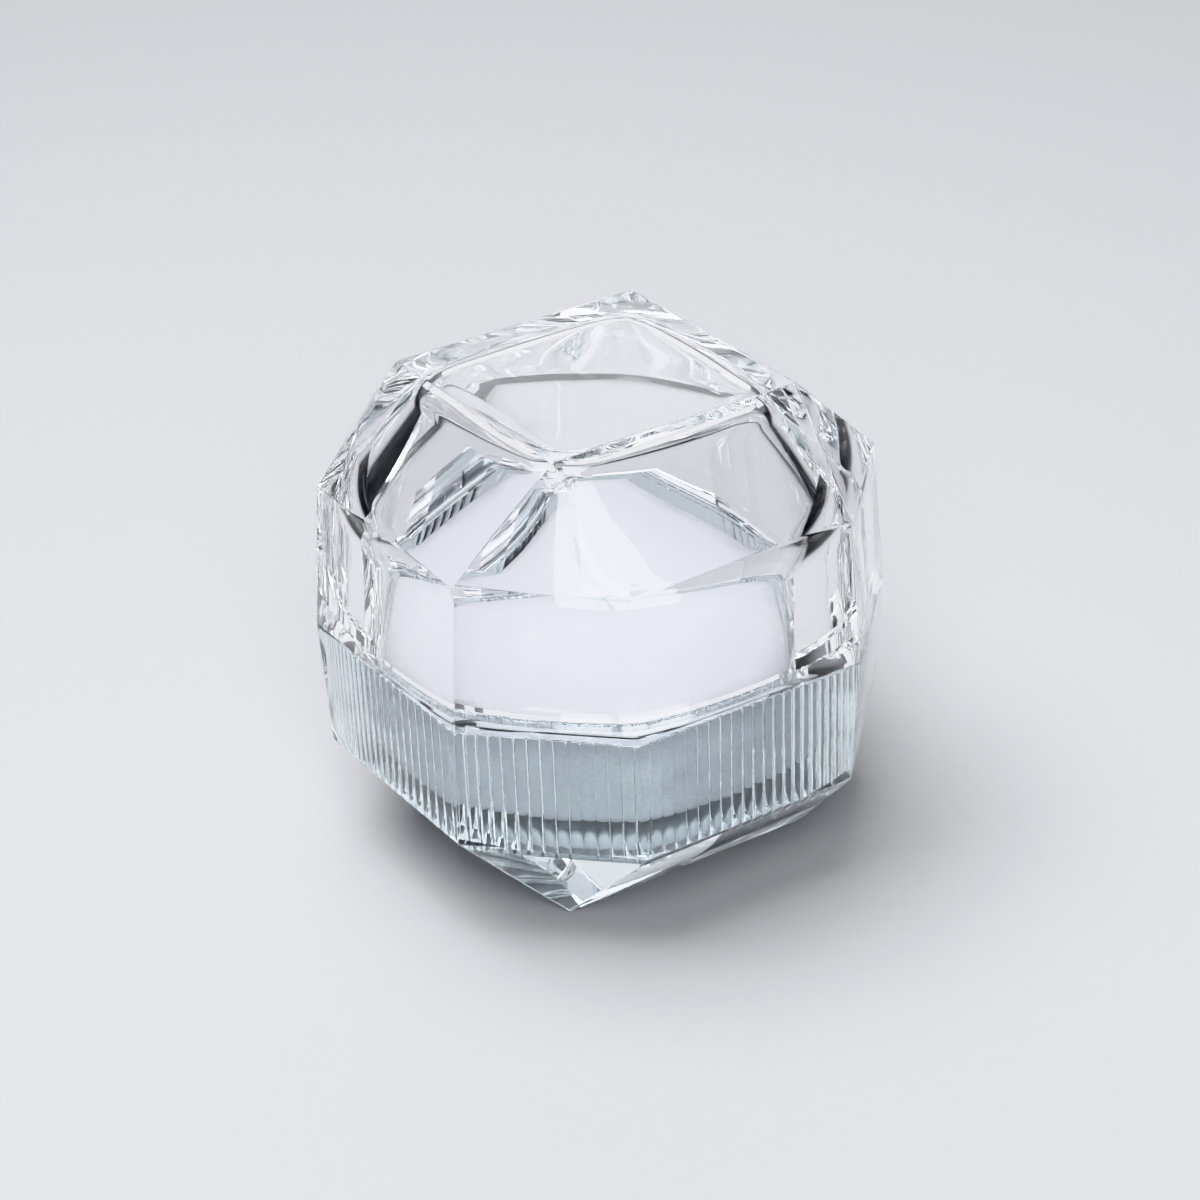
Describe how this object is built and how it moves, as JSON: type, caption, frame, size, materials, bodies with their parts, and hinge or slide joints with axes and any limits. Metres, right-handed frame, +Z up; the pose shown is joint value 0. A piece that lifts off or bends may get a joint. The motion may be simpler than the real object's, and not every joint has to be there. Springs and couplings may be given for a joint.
{
  "type": "ring display box",
  "caption": "Clear faceted ring box: gem-cut lid hinged at the back to a ribbed cup base that holds a white foam pad for a ring.",
  "frame": {"origin": "centre of the square foot that the box stands on", "axes": "+Z up, -Y the front, +Y the back with the hinge, X along the hinge"},
  "size_m": [0.04, 0.0446, 0.0388],
  "materials": {
    "clear_lid": "gloss",
    "clear_base": "gloss",
    "white_foam": "matte",
    "pin_steel": "satin"
  },
  "bodies": {
    "base_half": {"base": "clear_base", "foam_insert": "white_foam", "hinge_pin_left": "pin_steel", "hinge_pin_right": "pin_steel"},
    "lid_half": {"lid": "clear_lid"}
  },
  "joints": [
    {"name": "lid_hinge", "type": "hinge", "parent": "base_half", "child": "lid_half", "pos_m": [0, 0.022, 0.019], "axis": [-1, 0, 0], "range_deg": [0, 100]}
  ]
}
